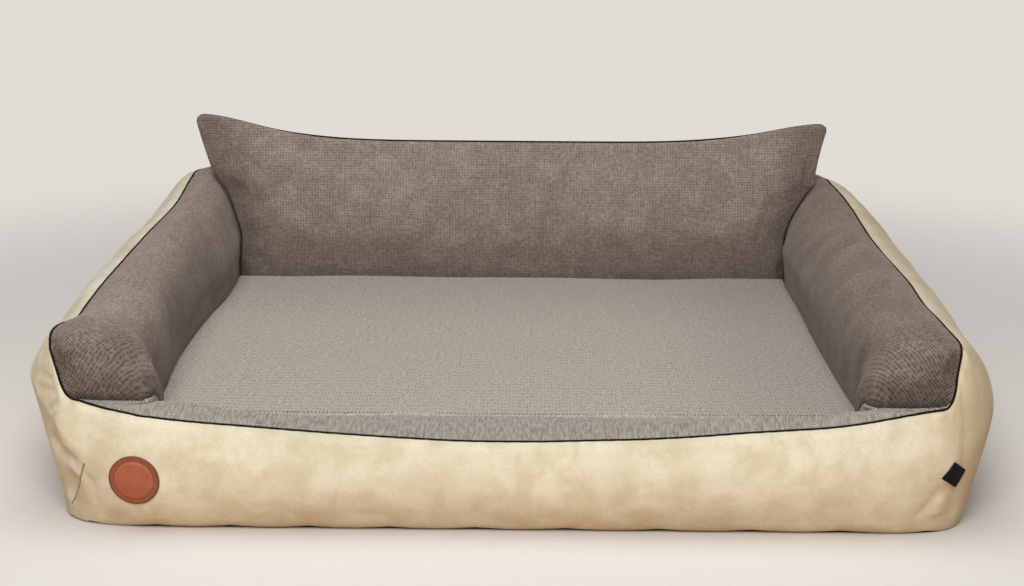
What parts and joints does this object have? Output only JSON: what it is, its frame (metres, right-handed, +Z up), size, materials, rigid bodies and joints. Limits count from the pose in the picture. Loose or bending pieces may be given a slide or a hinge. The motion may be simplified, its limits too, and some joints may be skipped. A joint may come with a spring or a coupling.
{
  "type": "pet bed",
  "caption": "Sofa-shaped orthopedic dog bed: stuffed frame with a low front, side bolsters and piped rim, lift-out foam mattress and loose back cushion, all with zipped covers.",
  "frame": {"origin": "on the floor, at the middle of the footprint", "axes": "+X to the right along the width as seen from the open front, +Y from the low front wall to the rear wall, +Z up"},
  "size_m": [1.14, 0.9223, 0.3412],
  "materials": {
    "nubuck_cloth": "beige imitation nubuck, cloudy and matt",
    "velour_cloth": "taupe knitted velour with a fine waffle relief",
    "mattress_cloth": "light taupe knitted velour with fine ribs",
    "base_cloth": "coated non-slip base cloth",
    "piping": "dark brown cloth-covered cord",
    "foam": "cut open-cell foam",
    "memory_foam": "cut memory foam",
    "fibre": "loose hollow fibre in an inner bag",
    "patch_leather": "terracotta leather with a burnished edge",
    "tag_cloth": "black woven ribbon",
    "zip_cloth": "woven zip tape",
    "zip_plastic": "moulded plastic teeth",
    "zip_metal": "black painted die-cast zinc"
  },
  "bodies": {
    "frame": {"base_panel": "base_cloth", "front_outer_panel": "nubuck_cloth", "left_outer_panel": "nubuck_cloth", "right_outer_panel": "nubuck_cloth", "rear_outer_panel": "nubuck_cloth", "front_inner_panel": "velour_cloth", "left_inner_panel": "velour_cloth", "right_inner_panel": "velour_cloth", "rear_inner_panel": "velour_cloth", "front_wall_foam": "foam", "left_bolster_filling": "fibre", "right_bolster_filling": "fibre", "rear_wall_foam": "foam", "rim_piping": "piping", "leather_patch": "patch_leather", "woven_tag": "tag_cloth", "frame_zip_tape": "zip_cloth", "frame_zip_teeth": "zip_plastic"},
    "mattress": {"mattress_top_panel": "mattress_cloth", "mattress_side_band": "mattress_cloth", "mattress_bottom_panel": "base_cloth", "memory_foam_layer": "memory_foam", "support_foam_block": "foam", "mattress_zip_tape": "zip_cloth", "mattress_zip_teeth": "zip_plastic"},
    "cushion": {"cushion_front_panel": "velour_cloth", "cushion_back_panel": "velour_cloth", "cushion_filling": "fibre", "cushion_piping": "piping", "cushion_zip_tape": "zip_cloth", "cushion_zip_teeth": "zip_plastic"},
    "frame_zip_slider": {"frame_zip_slider": "zip_metal"},
    "frame_zip_pull": {"frame_zip_pull": "zip_metal"},
    "mattress_zip_slider": {"mattress_zip_slider": "zip_metal"},
    "mattress_zip_pull": {"mattress_zip_pull": "zip_metal"},
    "cushion_zip_slider": {"cushion_zip_slider": "zip_metal"},
    "cushion_zip_pull": {"cushion_zip_pull": "zip_metal"}
  },
  "joints": [
    {"name": "mattress_lift", "type": "slide", "parent": "frame", "child": "mattress", "axis": [0, 0, 1], "range_m": [0, 0.3]},
    {"name": "cushion_lift", "type": "slide", "parent": "frame", "child": "cushion", "axis": [0, 0, 1], "range_m": [0, 0.36]},
    {"name": "frame_zip_travel", "type": "slide", "parent": "frame", "child": "frame_zip_slider", "axis": [-1, 0, 0], "range_m": [0, 0.627]},
    {"name": "frame_zip_pull_swing", "type": "hinge", "parent": "frame_zip_slider", "child": "frame_zip_pull", "pos_m": [0.31375, 0.45809, 0.03057], "axis": [0, -0.1541, -0.9881], "range_deg": [0, 170]},
    {"name": "mattress_zip_travel", "type": "slide", "parent": "mattress", "child": "mattress_zip_slider", "axis": [-1, 0, 0], "range_m": [0, 0.627]},
    {"name": "mattress_zip_pull_swing", "type": "hinge", "parent": "mattress_zip_slider", "child": "mattress_zip_pull", "pos_m": [0.31375, 0.3142, 0.0278], "axis": [0, 0, -1], "range_deg": [0, 170]},
    {"name": "cushion_zip_travel", "type": "slide", "parent": "cushion", "child": "cushion_zip_slider", "axis": [-1, 0, 0], "range_m": [0, 0.387]},
    {"name": "cushion_zip_pull_swing", "type": "hinge", "parent": "cushion_zip_slider", "child": "cushion_zip_pull", "pos_m": [0.19375, 0.38106, 0.03771], "axis": [0, -0.4134, -0.9106], "range_deg": [0, 170]}
  ]
}
